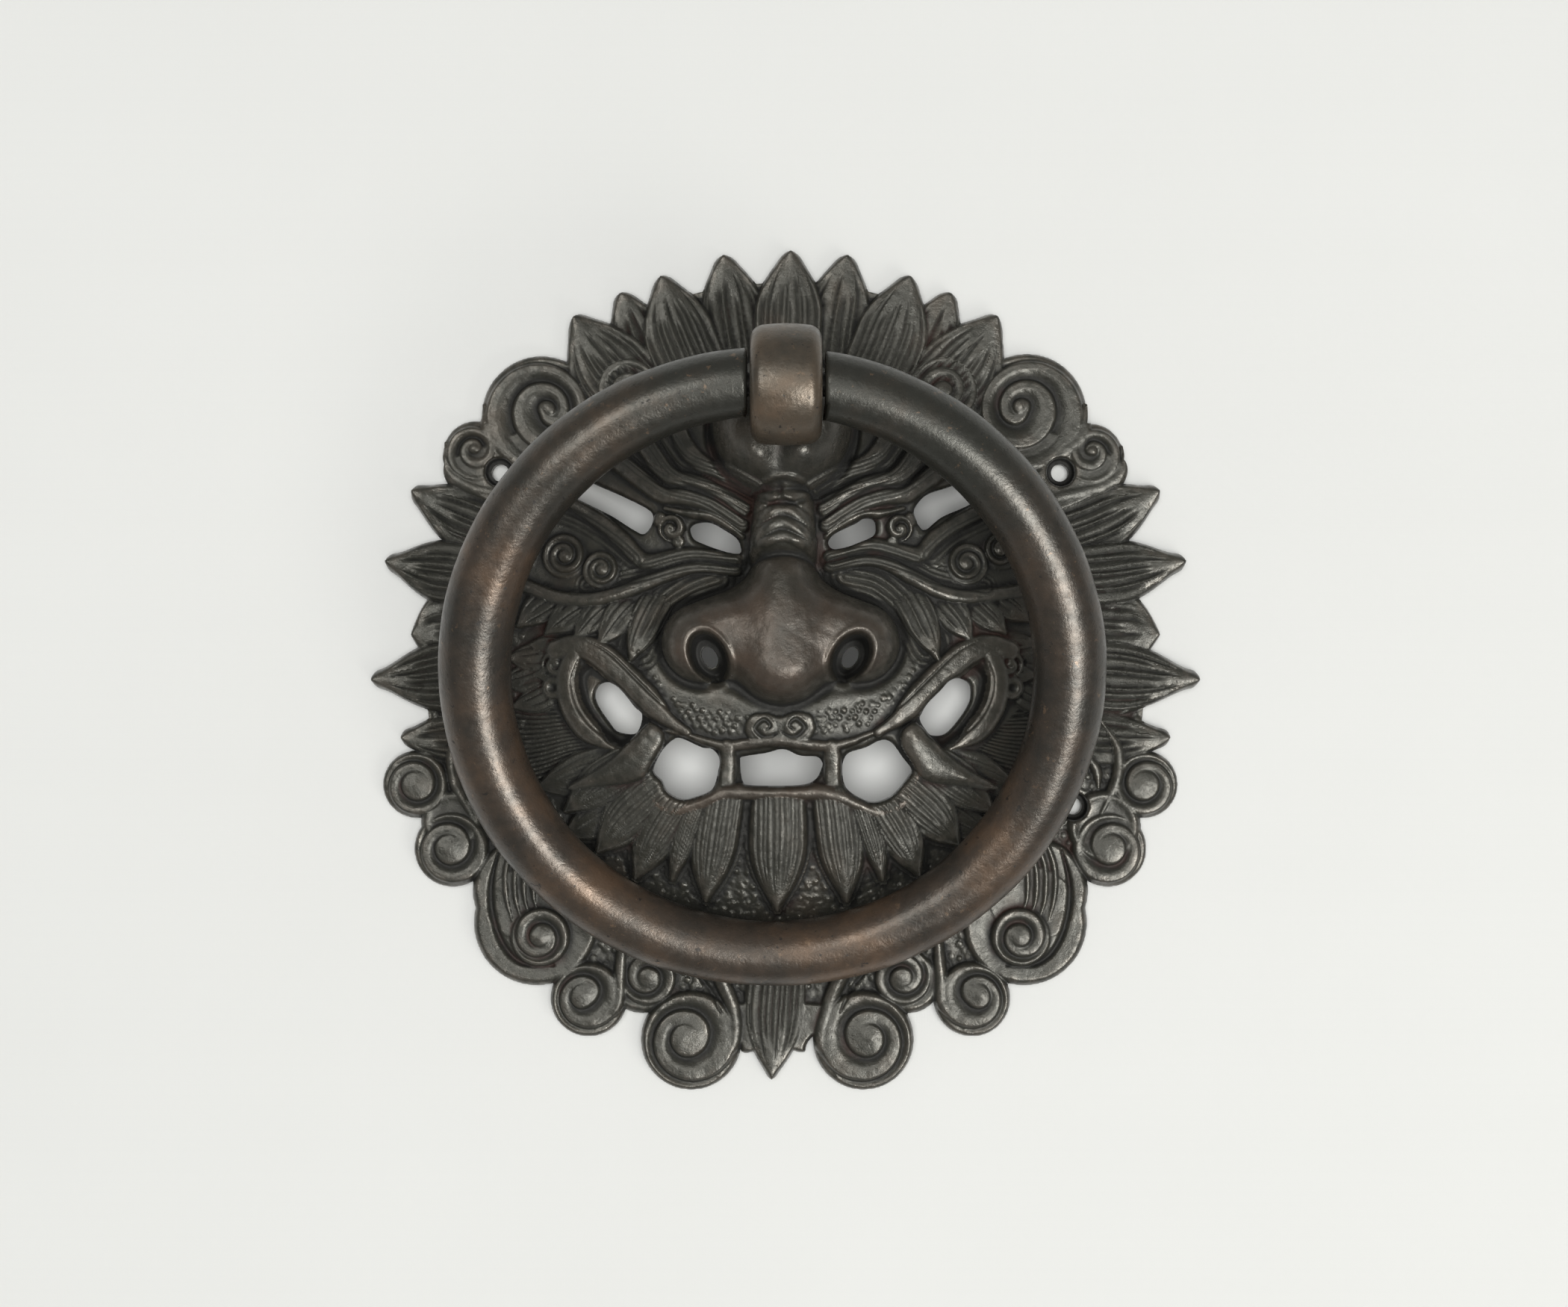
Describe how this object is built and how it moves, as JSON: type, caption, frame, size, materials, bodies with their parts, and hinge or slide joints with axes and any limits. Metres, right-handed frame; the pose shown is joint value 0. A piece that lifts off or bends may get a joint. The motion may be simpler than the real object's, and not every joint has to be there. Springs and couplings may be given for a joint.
{
  "type": "door knocker",
  "caption": "Cast beast-mask door knocker with leaf and scroll rim and a heavy swinging ring hung from a knuckle on the forehead.",
  "frame": {"origin": "middle of the mask's flat back face, which lies against the door", "axes": "+X across the mask to the visitor's right, +Y up the door towards the top leaves, +Z out of the door"},
  "size_m": [0.2185, 0.2213, 0.0748],
  "materials": {
    "mask_bronze": "dark oxidised cast bronze, satin",
    "knuckle_bronze": "brown bronze, worn satin",
    "ring_bronze": "brown bronze, worn satin",
    "pin_steel": "dull",
    "washer_steel": "dull",
    "nut_steel": "dull"
  },
  "bodies": {
    "mask": {"mask_casting": "mask_bronze", "ring_knuckle": "knuckle_bronze", "hinge_pin": "pin_steel", "knuckle_washer": "washer_steel", "knuckle_nut": "nut_steel"},
    "ring": {"knocker_ring": "ring_bronze"}
  },
  "joints": [
    {"name": "ring_hinge", "type": "hinge", "parent": "mask", "child": "ring", "pos_m": [0.0001, 0.07, 0.06], "axis": [-1, 0, 0], "range_deg": [0, 195]}
  ]
}
